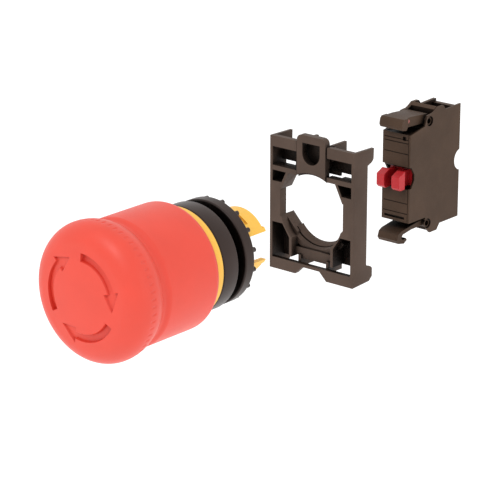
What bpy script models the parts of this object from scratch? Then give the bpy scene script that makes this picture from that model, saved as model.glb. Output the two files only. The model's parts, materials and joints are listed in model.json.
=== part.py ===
"""Twist-release emergency stop button: operator head, fixing adapter and contact block along one axis.

Blender's scene is in metres with +Z up. Lengths in this file are in millimetres and angles in degrees,
and the mesh helpers turn them into Blender's units. The button's axis is Y: the operator faces -Y, and
the origin is the centre of the panel hole, in the plane of the panel's front face.
"""

import math

import bmesh
import bpy
from mathutils import Vector

MM = 0.001
GAP = 0.3  # between touching pieces

# Driving dimensions of the operator head, as radii and places along Y
CAP_RADIUS = 19.0
CAP_RIM_ROUND = 6.1
CAP_APEX_Y = -44.9
CAP_RIM_Y = -37.9  # centre of the rim's rounding
CAP_BACK_Y = -32.0
CAP_WALL = 2.0
NECK_RADIUS = 16.9
SKIRT_RADIUS = 17.65
SKIRT_BORE = 15.6
SKIRT_REAR_Y = -9.7
SKIRT_REAR_ROUND = 2.6
SHAFT_RADIUS = 4.2
SHAFT_FRONT_Y = -35.2
SPRING_FLANGE_RADIUS = 14.6
SPRING_FLANGE_Y = (-20.3, -18.5)
BARREL_RADIUS = 9.2
BARREL_REAR_Y = -8.2
ACTUATOR_RADIUS = 7.4
ACTUATOR_REAR_Y = 12.6
HOUSING_RADIUS = 15.2
HOUSING_FRONT_Y = -10.5
HOUSING_CUP_RADIUS = 13.0
HOUSING_CUP_BORE = 11.9
HOUSING_FLOOR_Y = -3.0
SLEEVE_RADIUS = 9.3
SLEEVE_BORE = 7.7
SLEEVE_REAR_Y = 17.8
SLEEVE_TIP_Y = 18.7
SLEEVE_GROOVE_RADIUS = 8.8
SLEEVE_GROOVE_Y = (11.6, 13.5)
SLEEVE_NOTCH_HALF_ANGLE = 25.0
BEZEL_RADIUS = 15.0
BEZEL_Y = (-6.2, -0.2)
COLLAR_RADIUS = 10.9
COLLAR_BORE = 9.6
COLLAR_REAR_Y = 10.9
NUT_RADIUS = 14.7
NUT_KNOB_REACH = 14.95
NUT_BORE = 11.2
NUT_Y = (3.08, 6.8)
NUT_KNOBS = 16
LATCH_PIN_Y = -10.9
LATCH_PIN_RADIUS = 1.8
LATCH_PIN_TIP_X = 9.5

# Fixing adapter: depths are measured rearward from its front face
ADAPTER_FRONT_Y = 48.45
ADAPTER_HALF_WIDTH = 15.0
ADAPTER_Z = (-19.1, 20.1)
ADAPTER_DEPTH = 6.2
ADAPTER_EAR_DEPTH = 8.9
ADAPTER_WALL = 0.9
BAR_DEPTH = 1.6
TOP_BAR_Z = 17.0
BOTTOM_BAR_Z = -15.75
REAR_RAIL_Z = (12.3, 15.9)
STILE_X = 11.3
STILE_DEPTH = 2.6
BAY_HALF_WIDTH = 5.0
SEAT_RADIUS = 9.7
TAB_HALF_WIDTH = 5.1
TAB_TOP_Z = 22.3
TAB_ARCH_RADIUS = 11.0
TAB_HOLE_RADIUS = 3.1
TAB_HOLE_Z = (14.0, 20.1)

# Contact block: places along Y are measured rearward from its front face
BLOCK_FRONT_Y = 87.8
BLOCK_HALF_WIDTH = 5.0
BLOCK_DEPTH = 24.4
BLOCK_WALL = 0.6
BLOCK_FRONT_Z = (-11.8, 14.9)
BLOCK_TOP_Z = 19.6
BLOCK_BOTTOM_Z = -15.2
FINGER_NOTCH_Z = (-1.3, 5.0)
PLUNGER_Z = (-1.3, 4.1)
PLUNGER_REACH = 4.0
PLUNGER_HALF_WIDTH = 4.1
CLIP_HOLE_RADIUS = 1.5
CLIP_PIN_RADIUS = 1.2
TOP_CLIP_PIVOT = (9.3, 17.3)
BOTTOM_CLIP_PIVOT = (9.3, -13.9)
CLIP_HALF_WIDTH = 3.6
TERMINAL_Z = {"top": 12.2, "bottom": -9.2}
SCREW_HEAD_RADIUS = 2.1
CONTACT_Z = 1.85  # height of the moving contact's middle

FINE = 44
COARSE = 28
SMALL = 16


def clear_scene():
    for obj in list(bpy.data.objects):
        bpy.data.objects.remove(obj, do_unlink=True)


def material(name, colour, roughness, metallic=0.0):
    """A Principled material; a second call with the same name returns the first one."""
    if name in bpy.data.materials:
        return bpy.data.materials[name]
    made = bpy.data.materials.new(name)
    made.use_nodes = True
    shader = made.node_tree.nodes["Principled BSDF"]
    shader.inputs["Base Color"].default_value = (*colour, 1.0)
    shader.inputs["Roughness"].default_value = roughness
    shader.inputs["Metallic"].default_value = metallic
    return made


def red_plastic():
    return material("red_plastic", (0.80, 0.07, 0.045), 0.45)


def yellow_plastic():
    return material("yellow_plastic", (0.95, 0.53, 0.07), 0.45)


def black_plastic():
    return material("black_plastic", (0.06, 0.052, 0.052), 0.5)


def brown_plastic():
    return material("brown_plastic", (0.105, 0.078, 0.062), 0.55)


def dark_red_plastic():
    return material("dark_red_plastic", (0.50, 0.012, 0.018), 0.4)


def white_plastic():
    return material("white_plastic", (0.72, 0.70, 0.64), 0.5)


def seal_rubber():
    return material("seal_rubber", (0.02, 0.02, 0.02), 0.8)


def spring_steel():
    return material("spring_steel", (0.55, 0.55, 0.57), 0.3, 1.0)


def contact_brass():
    return material("contact_brass", (0.72, 0.52, 0.24), 0.35, 1.0)


def contact_silver():
    return material("contact_silver", (0.80, 0.80, 0.78), 0.25, 1.0)


def zinc_steel():
    return material("zinc_steel", (0.62, 0.63, 0.66), 0.35, 1.0)


def arc(centre, radius, start, end, steps):
    """Points round a centre, from one angle to another, both included."""
    points = []
    for step in range(steps + 1):
        angle = math.radians(start + (end - start) * step / steps)
        points.append((centre[0] + radius * math.cos(angle), centre[1] + radius * math.sin(angle)))
    return points


def polar(radius, degrees):
    angle = math.radians(degrees)
    return (radius * math.cos(angle), radius * math.sin(angle))


def link(name, mesh, look):
    obj = bpy.data.objects.new(name, mesh)
    bpy.context.scene.collection.objects.link(obj)
    mesh.materials.append(look)
    return obj


def finish_mesh(name, bm, look, smooth_below=35.0):
    bmesh.ops.recalc_face_normals(bm, faces=bm.faces[:])
    mesh = bpy.data.meshes.new(name)
    bm.to_mesh(mesh)
    bm.free()
    mesh.shade_smooth()
    mesh.set_sharp_from_angle(angle=math.radians(smooth_below))
    return link(name, mesh, look)


def turned(name, profile, look, segments=FINE):
    """A solid turned about Y from (radius, y) points: a ring, or solid to the axis if the ends lie on it."""
    bm = bmesh.new()
    verts = [bm.verts.new((radius * MM, y * MM, 0.0)) for radius, y in profile]
    edges = [bm.edges.new(pair) for pair in zip(verts, verts[1:])]
    if profile[0][0] > 0:
        edges.append(bm.edges.new((verts[-1], verts[0])))
    bmesh.ops.spin(
        bm,
        geom=verts + edges,
        cent=(0, 0, 0),
        axis=(0, 1, 0),
        angle=2 * math.pi,
        steps=segments,
        use_merge=True,
    )
    bmesh.ops.remove_doubles(bm, verts=bm.verts[:], dist=0.001 * MM)
    return finish_mesh(name, bm, look)


def turned_sector(name, profile, look, start, end, steps):
    """A part of a ring between two angles, measured from +X towards +Z."""
    bm = bmesh.new()
    rings = []
    for step in range(steps + 1):
        angle = math.radians(start + (end - start) * step / steps)
        rings.append(
            [
                bm.verts.new((radius * math.cos(angle) * MM, y * MM, radius * math.sin(angle) * MM))
                for radius, y in profile
            ]
        )
    count = len(profile)
    for ring, following in zip(rings, rings[1:]):
        for index in range(count):
            after = (index + 1) % count
            bm.faces.new((ring[index], ring[after], following[after], following[index]))
    bm.faces.new(rings[0])
    bm.faces.new(rings[-1])
    return finish_mesh(name, bm, look)


def prism(name, outline, axis, low, high, look):
    """An outline pushed along an axis. Its points are (x, z) along Y, (y, z) along X and (x, y) along Z."""
    place = {
        "X": lambda a, b, depth: (depth, a, b),
        "Y": lambda a, b, depth: (a, depth, b),
        "Z": lambda a, b, depth: (a, b, depth),
    }[axis]
    bm = bmesh.new()
    near = [bm.verts.new(Vector(place(a, b, low)) * MM) for a, b in outline]
    far = [bm.verts.new(Vector(place(a, b, high)) * MM) for a, b in outline]
    bm.faces.new(near)
    bm.faces.new(far)
    for index in range(len(outline)):
        after = (index + 1) % len(outline)
        bm.faces.new((near[index], near[after], far[after], far[index]))
    return finish_mesh(name, bm, look)


def box(name, x, y, z, look):
    outline = [(x[0], z[0]), (x[1], z[0]), (x[1], z[1]), (x[0], z[1])]
    return prism(name, outline, "Y", y[0], y[1], look)


def rod(name, axis, centre, radius, low, high, look, sides=SMALL):
    """A round bar along an axis; its centre is given in the plane across that axis."""
    outline = arc(centre, radius, 0, 360, sides)[:-1]
    return prism(name, outline, axis, low, high, look)


def coil(name, centre, axis, radius, wire, low, high, turns, look):
    """A compression spring as a wire along a helix round X or Y, with closed flat-lying ends."""
    points_per_turn = 10
    steps = int(turns * points_per_turn)
    curve = bpy.data.curves.new(name, "CURVE")
    curve.dimensions = "3D"
    curve.bevel_depth = wire / 2 * MM
    curve.bevel_resolution = 1
    curve.use_fill_caps = True
    spline = curve.splines.new("POLY")
    spline.points.add(steps)
    for step in range(steps + 1):
        angle = 2 * math.pi * step / points_per_turn
        along = low + wire / 2 + (high - low - wire) * step / steps
        across = (radius * math.cos(angle), radius * math.sin(angle))
        if axis == "Y":
            point = (centre[0] + across[0], along, centre[1] + across[1])
        else:
            point = (along, centre[0] + across[0], centre[1] + across[1])
        spline.points[step].co = (*(Vector(point) * MM), 1.0)
    return link(name, curve, look)


def combine(obj, others, operation):
    """Booleans the others into obj, bakes the result and removes them."""
    for other in others:
        modifier = obj.modifiers.new(operation.lower(), "BOOLEAN")
        modifier.operation = operation
        modifier.solver = "EXACT"
        modifier.object = other
    bpy.context.view_layer.update()
    graph = bpy.context.evaluated_depsgraph_get()
    baked = bpy.data.meshes.new_from_object(obj.evaluated_get(graph))
    obj.modifiers.clear()
    obj.data = baked
    for other in others:
        bpy.data.objects.remove(other, do_unlink=True)
    baked.shade_smooth()
    baked.set_sharp_from_angle(angle=math.radians(35.0))
    return obj


def cut(obj, *cutters):
    return combine(obj, cutters, "DIFFERENCE")


def join(obj, *others):
    return combine(obj, others, "UNION")


def empty(name, location, parent=None):
    made = bpy.data.objects.new(name, None)
    bpy.context.scene.collection.objects.link(made)
    made.location = Vector(location) * MM
    made.parent = parent
    return made


def hang(parent, *objects):
    for obj in objects:
        obj.parent = parent


def mirrored_x(outline):
    return [(-x, z) for x, z in outline]


# Operator head


def cap_outer_profile():
    """From the apex round the rim to the back edge: a shallow dome tangent to the rim's rounding."""
    ring = CAP_RADIUS - CAP_RIM_ROUND
    height = CAP_RIM_Y - CAP_APEX_Y
    dome = (ring**2 + height**2 - CAP_RIM_ROUND**2) / (2 * (height - CAP_RIM_ROUND))
    lean = math.degrees(math.asin(ring / (dome - CAP_RIM_ROUND)))
    dome_centre = (0.0, CAP_APEX_Y + dome)
    narrowing = 3.0
    length = CAP_BACK_Y - CAP_RIM_Y - 0.1
    points = arc(dome_centre, dome, -90, -90 + lean, 3)
    points += arc((ring, CAP_RIM_Y), CAP_RIM_ROUND, -90 + lean, 0, 6)[1:]
    for across, along in arc((0, 0), 1.0, 0, 66, 4)[1:]:
        points.append((CAP_RADIUS - narrowing * (1 - across), CAP_RIM_Y + length * along))
    points.append((NECK_RADIUS + 0.2, CAP_BACK_Y))
    return points


def arrow_cutter(name, turn):
    """A clockwise arrow sunk into the face: a curved band that ends in a triangular head."""
    inner, outer = 9.7, 11.9
    head_inner, head_outer = 8.4, 13.3
    middle = (inner + outer) / 2
    tail, neck, tip = turn, turn - 72.0, turn - 100.0
    floor_y = CAP_APEX_Y + 1.75
    outline = arc((0, 0), outer, tail, neck, 8)
    outline += [polar(head_outer, neck), polar(middle, tip), polar(head_inner, neck)]
    outline += arc((0, 0), inner, neck, tail, 8)
    return prism(name, outline, "Y", CAP_APEX_Y - 2.0, floor_y, red_plastic())


def make_mushroom_cap():
    profile = cap_outer_profile()
    boss = (7.0, 8.4)
    boss_rear_y = -33.0
    ceiling_y = CAP_APEX_Y + 2.9
    inner_round = CAP_RIM_ROUND - CAP_WALL
    ring = CAP_RADIUS - CAP_RIM_ROUND
    profile.append((15.1, CAP_BACK_Y))
    profile.append((16.8, CAP_BACK_Y - 4.6))
    profile += arc((ring, CAP_RIM_Y), inner_round, 0, -76, 3)
    profile.append((boss[1], ceiling_y))
    profile.append((boss[1], boss_rear_y))
    profile.append((boss[0], boss_rear_y))
    profile.append((boss[0], ceiling_y))
    profile.append((0.0, ceiling_y))
    cap = turned("mushroom_cap", profile, red_plastic())
    arrows = [arrow_cutter(f"arrow_{turn}", turn) for turn in (90, -30, -150)]
    return cut(cap, *arrows)


def make_cap_skirt():
    rear_centre = (SKIRT_RADIUS - SKIRT_REAR_ROUND, SKIRT_REAR_Y - SKIRT_REAR_ROUND)
    neck_front = CAP_BACK_Y + GAP
    web_y = (-30.6, -29.0)
    web_bore = 10.6
    web_edge = 14.6
    profile = [(web_bore, web_y[0]), (web_edge, web_y[0]), (web_edge, neck_front)]
    profile += [(NECK_RADIUS, neck_front), (NECK_RADIUS, neck_front + 0.9), (SKIRT_RADIUS, neck_front + 1.7)]
    profile += arc(rear_centre, SKIRT_REAR_ROUND, 0, 70, 4)
    profile += [(SKIRT_BORE, SKIRT_REAR_Y), (SKIRT_BORE, web_y[1]), (web_bore, web_y[1])]
    return turned("cap_skirt", profile, red_plastic())


def make_cap_hub():
    bore = SHAFT_RADIUS + GAP
    front_y = -32.7
    flange_rear_y = front_y + 1.8
    profile = [(bore, front_y), (13.8, front_y), (13.8, flange_rear_y), (8.4, flange_rear_y)]
    profile += [(8.4, -22.4), (bore, -22.4)]
    return turned("cap_hub", profile, black_plastic(), COARSE)


def make_retaining_clip():
    profile = [(3.7, -33.8), (6.4, -33.8), (6.4, -33.0), (3.7, -33.0)]
    return turned_sector("retaining_clip", profile, spring_steel(), 125, 415, 22)


def make_actuator():
    """The white plunger: shaft, spring flange, latch barrel and the ribbed end that pushes the contact."""
    groove_radius = 3.4
    groove_y = (-34.1, -32.7)
    chamfer = 0.5
    profile = [(0.0, SHAFT_FRONT_Y), (SHAFT_RADIUS - chamfer, SHAFT_FRONT_Y)]
    profile += [(SHAFT_RADIUS, SHAFT_FRONT_Y + chamfer), (SHAFT_RADIUS, groove_y[0])]
    profile.append((groove_radius, groove_y[0]))
    profile += [(groove_radius, groove_y[1]), (SHAFT_RADIUS, groove_y[1]), (SHAFT_RADIUS, SPRING_FLANGE_Y[0])]
    profile += [(SPRING_FLANGE_RADIUS, SPRING_FLANGE_Y[0]), (SPRING_FLANGE_RADIUS, SPRING_FLANGE_Y[1])]
    profile += [(BARREL_RADIUS, SPRING_FLANGE_Y[1]), (BARREL_RADIUS, BARREL_REAR_Y)]
    profile += [(ACTUATOR_RADIUS, BARREL_REAR_Y), (ACTUATOR_RADIUS, ACTUATOR_REAR_Y), (0.0, ACTUATOR_REAR_Y)]
    body = turned("actuator", profile, white_plastic(), COARSE)
    cutters = []
    pin_bore = LATCH_PIN_RADIUS + GAP
    for side in (-1, 1):
        ends = sorted((side * 3.2, side * (BARREL_RADIUS + 1)))
        name = f"pin_bore_{side}"
        cutters.append(rod(name, "X", (LATCH_PIN_Y, 0.0), pin_bore, ends[0], ends[1], white_plastic()))
    rib = 1.2
    rim = ACTUATOR_RADIUS - 1.2
    pocket_y = (4.0, ACTUATOR_REAR_Y + 1)
    corner = math.degrees(math.asin(rib / rim))
    for quarter in range(4):
        turn = 90 * quarter
        outline = arc((0, 0), rim, turn + corner, turn + 90 - corner, 5)
        outline.append(polar(rib * math.sqrt(2), turn + 45))
        cutters.append(prism(f"pocket_{turn}", outline, "Y", pocket_y[0], pocket_y[1], white_plastic()))
    return cut(body, *cutters)


def make_latch_pin(name, side):
    """A round pin with a chamfered tip, on its own slide axis along X."""
    tip_x = LATCH_PIN_TIP_X
    base_x = 6.5
    chamfer = 0.6
    bm = bmesh.new()
    rings = []
    radius = LATCH_PIN_RADIUS
    stations = [(base_x, radius), (tip_x - chamfer, radius), (tip_x, radius - chamfer)]
    for x, reach in stations:
        ring = []
        for y, z in arc((0.0, 0.0), reach, 0, 360, SMALL)[:-1]:
            ring.append(bm.verts.new(Vector((side * x, y, z)) * MM))
        rings.append(ring)
    for ring, following in zip(rings, rings[1:]):
        for index in range(SMALL):
            after = (index + 1) % SMALL
            bm.faces.new((ring[index], ring[after], following[after], following[index]))
    bm.faces.new(rings[0])
    bm.faces.new(rings[-1])
    pin = finish_mesh(name, bm, zinc_steel())
    pin.location.y = LATCH_PIN_Y * MM
    return pin


def make_yellow_housing():
    """The fixed yellow body: the ring in front of the bezel, its cup, and the sleeve behind the panel."""
    cup_shoulder_y = BEZEL_Y[0] - GAP
    cup_rear_y = -2.5
    profile = [(HOUSING_CUP_BORE, HOUSING_FRONT_Y), (HOUSING_RADIUS - 0.4, HOUSING_FRONT_Y)]
    profile += [(HOUSING_RADIUS, HOUSING_FRONT_Y + 0.4), (HOUSING_RADIUS, cup_shoulder_y)]
    profile += [(HOUSING_CUP_RADIUS, cup_shoulder_y), (HOUSING_CUP_RADIUS, cup_rear_y)]
    profile += [(SLEEVE_RADIUS, cup_rear_y), (SLEEVE_RADIUS, SLEEVE_TIP_Y), (SLEEVE_BORE, SLEEVE_TIP_Y)]
    profile += [(SLEEVE_BORE, HOUSING_FLOOR_Y - 0.9), (HOUSING_CUP_BORE, HOUSING_FLOOR_Y - 0.9)]
    body = turned("yellow_housing", profile, yellow_plastic())
    over = SLEEVE_RADIUS + 2
    look = yellow_plastic()
    half_notch = SLEEVE_RADIUS * math.sin(math.radians(SLEEVE_NOTCH_HALF_ANGLE))
    side_notch = box("side_notch", (-over, over), (10.2, SLEEVE_TIP_Y + 1), (-half_notch, half_notch), look)
    tip_half_height = SLEEVE_RADIUS * math.sin(math.radians(SLEEVE_NOTCH_HALF_ANGLE + 8))
    cutters = [side_notch]
    for side in (-1, 1):
        low, high = sorted((side * tip_half_height, side * over))
        rim_y = (SLEEVE_REAR_Y, SLEEVE_TIP_Y + 1)
        cutters.append(box(f"rim_{side}", (-over, over), rim_y, (low, high), look))
    groove = [(SLEEVE_GROOVE_RADIUS, SLEEVE_GROOVE_Y[0]), (over, SLEEVE_GROOVE_Y[0])]
    groove += [(over, SLEEVE_GROOVE_Y[1]), (SLEEVE_GROOVE_RADIUS, SLEEVE_GROOVE_Y[1])]
    cutters.append(turned_sector("lock_groove", groove, look, 50, 130, 12))
    return cut(body, *cutters)


def make_latch_ring():
    """The cam that the latch pins open into: its bore widens towards the rear."""
    outer = HOUSING_CUP_BORE - GAP
    front_y, rear_y = -12.9, HOUSING_FLOOR_Y - 1.2
    profile = [(9.75, front_y), (outer, front_y), (outer, rear_y)]
    profile += [(10.9, rear_y), (10.9, -6.6), (10.65, -8.8)]
    return turned("latch_ring", profile, zinc_steel(), COARSE)


def make_bezel_collar():
    """The black bezel with its threaded collar, a seat for the seal and a key that stops it turning."""
    recess_radius = HOUSING_CUP_RADIUS + GAP
    recess_floor_y = -2.2
    seat = (11.6, 14.0)
    seat_y = -1.3
    edge = 0.6
    front_y, rear_y = BEZEL_Y
    profile = [(recess_radius, front_y), (BEZEL_RADIUS - edge, front_y), (BEZEL_RADIUS, front_y + edge)]
    profile += [(BEZEL_RADIUS, rear_y), (seat[1], rear_y), (seat[1], seat_y)]
    profile += [(seat[0], seat_y), (seat[0], rear_y)]
    profile += [(COLLAR_RADIUS, rear_y), (COLLAR_RADIUS, COLLAR_REAR_Y - 0.4)]
    profile += [(COLLAR_RADIUS - 0.4, COLLAR_REAR_Y), (COLLAR_BORE, COLLAR_REAR_Y)]
    profile += [(COLLAR_BORE, recess_floor_y), (recess_radius, recess_floor_y)]
    body = turned("bezel_collar", profile, black_plastic())
    key = box("key", (-1.5, 1.5), (0.1, 0.9), (COLLAR_RADIUS - 0.8, 12.0), black_plastic())
    return join(body, key)


def make_panel_seal():
    profile = [(11.9, -1.0), (13.7, -1.0), (13.7, 0.0), (11.9, 0.0)]
    return turned("panel_seal", profile, seal_rubber())


def make_ring_nut():
    """A smooth ring whose rear rim carries knobs for the fingers or a spanner."""
    front_y, rear_y = NUT_Y
    rim_front_y = rear_y - 1.7
    edge = 0.4
    profile = [(NUT_BORE, front_y), (NUT_RADIUS - edge, front_y), (NUT_RADIUS, front_y + edge)]
    profile += [(NUT_RADIUS, rear_y - edge), (NUT_RADIUS - edge, rear_y), (NUT_BORE, rear_y)]
    nut = turned("ring_nut", profile, black_plastic())
    pitch = 360 / NUT_KNOBS
    knob_radius = 0.7
    knobs = []
    for index in range(NUT_KNOBS):
        centre = polar(NUT_KNOB_REACH - knob_radius, pitch * (index + 0.5))
        name = f"knob_{index}"
        knobs.append(rod(name, "Y", centre, knob_radius, rim_front_y, rear_y + 0.8, black_plastic(), 10))
    return join(nut, *knobs)


def make_head():
    """The head's pieces under empties on the axes that they move along or turn about."""
    press = empty("press_axis", (0, 0, 0))
    cap = empty("cap_axis", (0, 0, 0), press)
    hang(cap, make_mushroom_cap(), make_cap_skirt(), make_cap_hub())
    torsion = coil("torsion_spring", (0, 0), "Y", 9.4, 0.8, -28.6, -21.2, 5, spring_steel())
    returning = coil("return_spring", (0, 0), "Y", 13.4, 1.0, -18.2, -10.8, 3, spring_steel())
    hang(press, make_retaining_clip(), make_actuator(), torsion, returning)
    for side, word in ((-1, "left"), (1, "right")):
        pin = make_latch_pin(f"latch_pin_{word}", side)
        low, high = sorted((side * 3.5, side * 6.2))
        name = f"latch_spring_{word}"
        spring = coil(name, (LATCH_PIN_Y, 0), "X", 1.2, 0.4, low, high, 3, spring_steel())
        hang(press, pin, spring)
    make_yellow_housing()
    make_latch_ring()
    make_bezel_collar()
    make_panel_seal()
    make_ring_nut()


# Fixing adapter


def side_wall_outline():
    """The side of the adapter as (depth, z): two ears reach back past the plain wall."""
    low, high = ADAPTER_Z
    ear = ADAPTER_EAR_DEPTH
    outline = [(0, low), (ear - 1.3, low + 0.4), (ear, low + 1.6), (ear, low + 4.0), (ear - 0.8, low + 4.7)]
    outline += [(ADAPTER_DEPTH + 0.3, low + 5.1), (ADAPTER_DEPTH, low + 5.6), (ADAPTER_DEPTH, high - 4.8)]
    outline += [(ADAPTER_DEPTH + 0.8, high - 4.5), (ear - 0.7, high - 4.0), (ear - 0.1, high - 3.2)]
    outline += [(ear, high - 0.2), (0, high)]
    return outline


def upper_brace_outline():
    return [(8.2, 10.4), (11.0, 4.9), (11.6, 4.9), (11.6, 6.9), (10.8, 6.9), (9.1, 10.4)]


def lower_brace_outline():
    outline = [(11.3, -5.2), (11.3, -2.9), (7.0, -7.4), (7.0, -14.4)]
    return outline + [(7.9, -14.4), (7.9, -8.9), (10.4, -5.2)]


def upper_back_outline():
    inside = ADAPTER_HALF_WIDTH - 0.4
    return [(8.7, 10.4), (11.3, 4.9), (inside, 4.9), (inside, 10.4)]


def lower_back_outline():
    inside = ADAPTER_HALF_WIDTH - 0.4
    outline = [(7.5, -14.7), (7.5, -8.4), (10.8, -5.0), (inside, -5.0), (inside, -16.2)]
    return outline + [(11.9, -16.2), (11.9, -14.7)]


def make_adapter_bars():
    """The bars and rails that cross the whole frame, and the curved seat under the sleeve."""
    look = brown_plastic()
    low = ADAPTER_Z[0]
    inside = ADAPTER_HALF_WIDTH - 0.4
    bay = BAY_HALF_WIDTH
    notch = [(-inside, low), (-5.6, low), (-3.1, low + 2.45), (3.1, low + 2.45), (5.6, low), (inside, low)]
    bottom = notch + [(inside, BOTTOM_BAR_Z), (-inside, BOTTOM_BAR_Z)]
    seat = [(11.6, 2.4), (12.6, 2.4), (12.6, ADAPTER_DEPTH), (SEAT_RADIUS, ADAPTER_DEPTH)]
    seat += [(SEAT_RADIUS, 5.0), (10.6, 3.9), (11.2, 2.4)]
    return [
        prism("bottom_bar", bottom, "Y", 0, BAR_DEPTH, look),
        box("rear_rail", (-inside, inside), (4.4, 5.4), REAR_RAIL_Z, look),
        box("hole_back", (-4.3, 4.3), (2.9, 5.2), (13.7, REAR_RAIL_Z[1] + 0.4), look),
        box("hole_screen", (-4.3, 4.3), (2.8, 3.4), (REAR_RAIL_Z[1], 19.0), look),
        box("lower_rail", (-7.4, 7.4), (1.8, 4.6), (-13.9, -11.6), look),
        box("sill", (-bay, bay), (1.8, 2.8), (-14.7, -13.5), look),
        turned_sector("seat", seat, look, 218, 322, 18),
    ]


def make_adapter_side(side):
    """One side's half bars, pocket walls and braces; side is -1 for the left and 1 for the right."""
    look = brown_plastic()
    word = "left" if side < 0 else "right"
    flip = mirrored_x if side < 0 else list
    low, high = ADAPTER_Z
    inside = ADAPTER_HALF_WIDTH - 0.4
    beside_tab = TAB_HALF_WIDTH + GAP
    bay = BAY_HALF_WIDTH
    thin = ADAPTER_WALL / 2
    ear = ADAPTER_EAR_DEPTH

    def piece(name, near, far, depth, z):
        x = sorted((side * near, side * far))
        return box(f"{name}_{word}", x, depth, z, look)

    return [
        piece("top_bar", beside_tab, inside, (0, BAR_DEPTH), (TOP_BAR_Z, high)),
        piece("rib", beside_tab, inside, (0, STILE_DEPTH), (10.1, 11.5)),
        piece("stile", STILE_X, inside, (0, STILE_DEPTH), (-5.2, 6.9)),
        piece("bay_top", bay - thin, bay + thin, (2.3, ear), (REAR_RAIL_Z[1] - 0.4, high)),
        piece("bay_lug", bay + 0.3, bay + 1.3, (0.4, 3.4), (TOP_BAR_Z + 0.4, high - 0.4)),
        piece("bay_low", bay - thin, bay + thin, (1.2, 7.4), (low + 2.0, -13.6)),
        piece("rib_shelf", 8.4, inside, (2.0, 4.6), (10.1, 11.3)),
        prism(f"upper_back_{word}", flip(upper_back_outline()), "Y", 4.2, 5.2, look),
        prism(f"lower_back_{word}", flip(lower_back_outline()), "Y", 5.2, ADAPTER_DEPTH, look),
        prism(f"upper_brace_{word}", flip(upper_brace_outline()), "Y", 0, 5.0, look),
        prism(f"lower_brace_{word}", flip(lower_brace_outline()), "Y", 0, ADAPTER_DEPTH, look),
    ]


def make_adapter_frame():
    """An open moulded frame: side walls, bars, pockets and braces round the opening, and a seat."""
    look = brown_plastic()
    half = ADAPTER_HALF_WIDTH
    frame = prism("adapter_frame", side_wall_outline(), "X", half - ADAPTER_WALL, half, look)
    left_wall = prism("left_wall", side_wall_outline(), "X", -half, ADAPTER_WALL - half, look)
    frame = join(frame, left_wall, *make_adapter_bars(), *make_adapter_side(-1), *make_adapter_side(1))
    opening = rod("opening", "Y", (0, 0), COLLAR_RADIUS + GAP, -1.0, 2.4, look, FINE)
    sleeve_way = rod("sleeve_way", "Y", (0, 0), SEAT_RADIUS, -1.0, ADAPTER_DEPTH + 1, look, FINE)
    return cut(frame, opening, sleeve_way)


def make_locking_slide():
    """The tab with the D-shaped hole: pushed down, its arched lip drops into the sleeve's groove."""
    look = brown_plastic()
    half = TAB_HALF_WIDTH
    corner = 1.6
    front, lip_front, lip_rear = -0.3, 0.5, 1.7
    corners = arc((half - corner, TAB_TOP_Z - corner), corner, 0, 90, 5)
    top = corners + arc((corner - half, TAB_TOP_Z - corner), corner, 90, 180, 5)
    half_angle = math.degrees(math.asin(half / TAB_ARCH_RADIUS))
    lip = arc((0, 0), TAB_ARCH_RADIUS, 90 + half_angle, 90 - half_angle, 12)
    outer = TAB_ARCH_RADIUS + 0.6
    outer_angle = math.degrees(math.asin(half / outer))
    face = arc((0, 0), outer, 90 + outer_angle, 90 - outer_angle, 12)
    slide = prism("locking_slide", top + face, "Y", front, lip_front + 0.2, look)
    plate = prism("lip_plate", top + lip, "Y", lip_front, lip_rear, look)
    core = box("core", (-4.2, 4.2), (lip_rear - 0.2, 3.6), (11.8, 13.4), look)
    foot = box("foot", (-8.0, 8.0), (2.9, 3.6), (11.8, 12.9), look)
    slide = join(slide, plate, core, foot)
    radius = TAB_HOLE_RADIUS
    hole_low, hole_high = TAB_HOLE_Z
    hole_outline = arc((0, hole_low + radius), radius, 180, 360, 12)
    hole_outline += [(radius, hole_high), (-radius, hole_high)]
    return cut(slide, prism("d_hole", hole_outline, "Y", front - 1, lip_rear + 0.4, look))


def make_adapter():
    adapter = empty("adapter_axis", (0, ADAPTER_FRONT_Y, 0))
    hang(adapter, make_adapter_frame(), make_locking_slide())


# Contact block


def block_outline():
    """The block's side as (depth, z), with a raised shoulder behind each latch arm's pivot."""
    front_low, front_high = BLOCK_FRONT_Z
    shoulder_z = BLOCK_TOP_Z + 1.2
    outline = [(0, front_low), (8.0, front_low), (8.6, BLOCK_BOTTOM_Z), (10.4, -17.0), (13.8, -17.0)]
    outline += [(15.2, BLOCK_BOTTOM_Z), (BLOCK_DEPTH, BLOCK_BOTTOM_Z), (BLOCK_DEPTH, BLOCK_TOP_Z)]
    outline += [(17.0, BLOCK_TOP_Z - 0.3), (15.8, shoulder_z), (13.3, shoulder_z), (11.6, shoulder_z - 1.0)]
    outline += [(10.6, 19.4), (8.0, 19.2), (6.8, 16.2), (0, front_high)]
    return outline


def side_notch_cutter(name):
    """The finger notch beside the plunger, through the side walls only."""
    low, high = FINGER_NOTCH_Z
    outline = [(-1.0, high + 0.2), (0.8, high), (2.2, (low + high) / 2 + 0.9), (2.2, (low + high) / 2 - 0.9)]
    outline += [(0.8, low), (-1.0, low - 0.2)]
    return prism(name, outline, "X", -BLOCK_HALF_WIDTH - 1, BLOCK_HALF_WIDTH + 1, brown_plastic())


def rear_notch_cutter(name):
    return rod(name, "X", (BLOCK_DEPTH + 0.8, 2.45), 3.3, -6, 6, brown_plastic(), 24)


def clip_holes(name, low, high):
    look = brown_plastic()
    holes = []
    for label, pivot in (("top", TOP_CLIP_PIVOT), ("bottom", BOTTOM_CLIP_PIVOT)):
        holes.append(rod(f"{name}_{label}", "X", pivot, CLIP_HOLE_RADIUS, low, high, look, SMALL))
    return holes


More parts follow.
